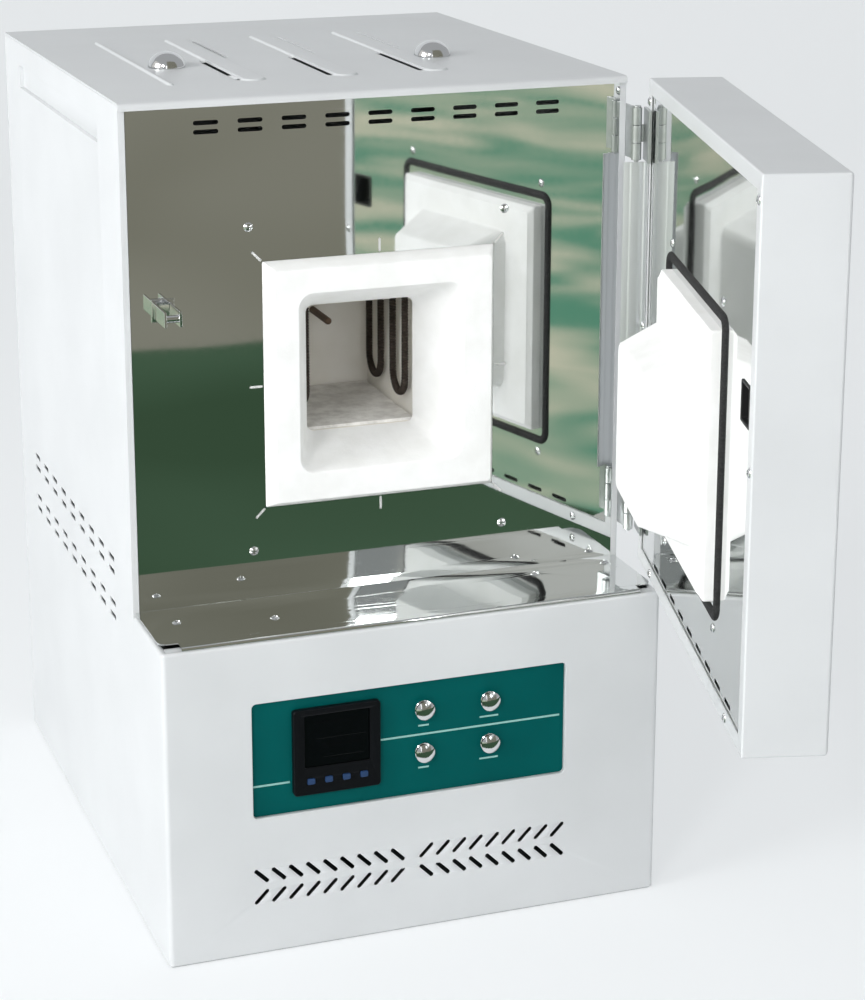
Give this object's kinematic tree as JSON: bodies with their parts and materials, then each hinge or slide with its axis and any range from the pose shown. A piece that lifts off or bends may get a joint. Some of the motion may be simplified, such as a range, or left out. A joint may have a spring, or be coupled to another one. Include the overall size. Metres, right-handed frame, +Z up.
{
  "type": "muffle furnace",
  "caption": "Laboratory muffle furnace: a fibre-lined chamber behind a side-hung plug door, in a sheet steel cabinet with a control console below and in front.",
  "frame": {"origin": "middle of the base, on the surface that the furnace stands on", "axes": "+Z up, +X to the right of someone who faces the console, +Y towards the rear cover"},
  "size_m": [0.4825, 0.8905, 0.683],
  "materials": {
    "paint": "satin powder coat, light grey",
    "mirror_steel": "mirror-polished stainless steel",
    "plain_steel": "galvanised sheet",
    "chrome": "polished",
    "teal_paint": "satin teal",
    "fibre": "matt ceramic fibre board",
    "hearth": "matt fired slab",
    "ceramic": "unglazed",
    "sheath": "unglazed brown",
    "heater": "oxidised resistance wire",
    "brass": "plain",
    "dark_plastic": "satin black",
    "window": "smoked window",
    "key_blue": "satin blue",
    "gasket": "woven black seal"
  },
  "bodies": {
    "cabinet": {"base_pan": "plain_steel", "left_side_panel": "paint", "right_side_panel": "paint", "top_cover": "paint", "rear_cover": "paint", "front_plate": "mirror_steel", "console_panel": "paint", "console_shelf": "mirror_steel", "shelf_deck": "plain_steel", "control_fascia": "teal_paint", "controller_bezel": "dark_plastic", "controller_window": "window", "controller_case": "dark_plastic", "button_bodies": "dark_plastic", "muffle_collar": "fibre", "hearth_slab": "hearth", "chamber_floor": "fibre", "chamber_left_wall": "fibre", "chamber_right_wall": "fibre", "chamber_roof": "fibre", "chamber_back": "fibre", "insulation_blanket": "fibre", "inner_shell": "plain_steel", "muffle_supports": "plain_steel", "divider_shelf": "plain_steel", "heater_left": "heater", "heater_right": "heater", "heater_bushes": "ceramic", "heater_straps": "brass", "thermocouple_sheath": "sheath", "thermocouple_head": "ceramic", "terminal_block": "ceramic", "solid_state_relay": "dark_plastic", "heat_sink": "plain_steel", "cable_gland": "dark_plastic", "plate_screws": "chrome", "shelf_screws": "chrome", "rear_screws": "chrome", "top_screws": "chrome", "door_catch": "chrome", "hinge_frame_leaves": "plain_steel", "hinge_pins": "chrome"},
    "door": {"door_shell": "paint", "door_liner": "mirror_steel", "door_insulation": "fibre", "door_gasket": "gasket", "door_plug": "fibre", "latch_socket": "dark_plastic", "door_pull": "dark_plastic", "hinge_door_leaves": "plain_steel", "door_screws": "chrome", "hinge_post": "plain_steel"},
    "button_1": {"push_button_1": "chrome"},
    "button_2": {"push_button_2": "chrome"},
    "button_3": {"push_button_3": "chrome"},
    "button_4": {"push_button_4": "chrome"},
    "key_1": {"controller_key_1": "key_blue"},
    "key_2": {"controller_key_2": "key_blue"},
    "key_3": {"controller_key_3": "key_blue"},
    "key_4": {"controller_key_4": "key_blue"}
  },
  "joints": [
    {"name": "door_hinge", "type": "hinge", "parent": "cabinet", "child": "door", "pos_m": [0.209, -0.1935, 0.47], "axis": [0, 0, 1], "range_deg": [-75, 30]},
    {"name": "button_1_press", "type": "slide", "parent": "cabinet", "child": "button_1", "axis": [0, 1, 0], "range_m": [0, 0.0025], "stiffness_N_per_m": 400, "springref_m": -0.004},
    {"name": "button_2_press", "type": "slide", "parent": "cabinet", "child": "button_2", "axis": [0, 1, 0], "range_m": [0, 0.0025], "stiffness_N_per_m": 400, "springref_m": -0.004},
    {"name": "button_3_press", "type": "slide", "parent": "cabinet", "child": "button_3", "axis": [0, 1, 0], "range_m": [0, 0.0025], "stiffness_N_per_m": 400, "springref_m": -0.004},
    {"name": "button_4_press", "type": "slide", "parent": "cabinet", "child": "button_4", "axis": [0, 1, 0], "range_m": [0, 0.0025], "stiffness_N_per_m": 400, "springref_m": -0.004},
    {"name": "key_1_press", "type": "slide", "parent": "cabinet", "child": "key_1", "axis": [0, 1, 0], "range_m": [0, 0.0005], "stiffness_N_per_m": 1500, "springref_m": -0.0008},
    {"name": "key_2_press", "type": "slide", "parent": "cabinet", "child": "key_2", "axis": [0, 1, 0], "range_m": [0, 0.0005], "stiffness_N_per_m": 1500, "springref_m": -0.0008},
    {"name": "key_3_press", "type": "slide", "parent": "cabinet", "child": "key_3", "axis": [0, 1, 0], "range_m": [0, 0.0005], "stiffness_N_per_m": 1500, "springref_m": -0.0008},
    {"name": "key_4_press", "type": "slide", "parent": "cabinet", "child": "key_4", "axis": [0, 1, 0], "range_m": [0, 0.0005], "stiffness_N_per_m": 1500, "springref_m": -0.0008}
  ]
}
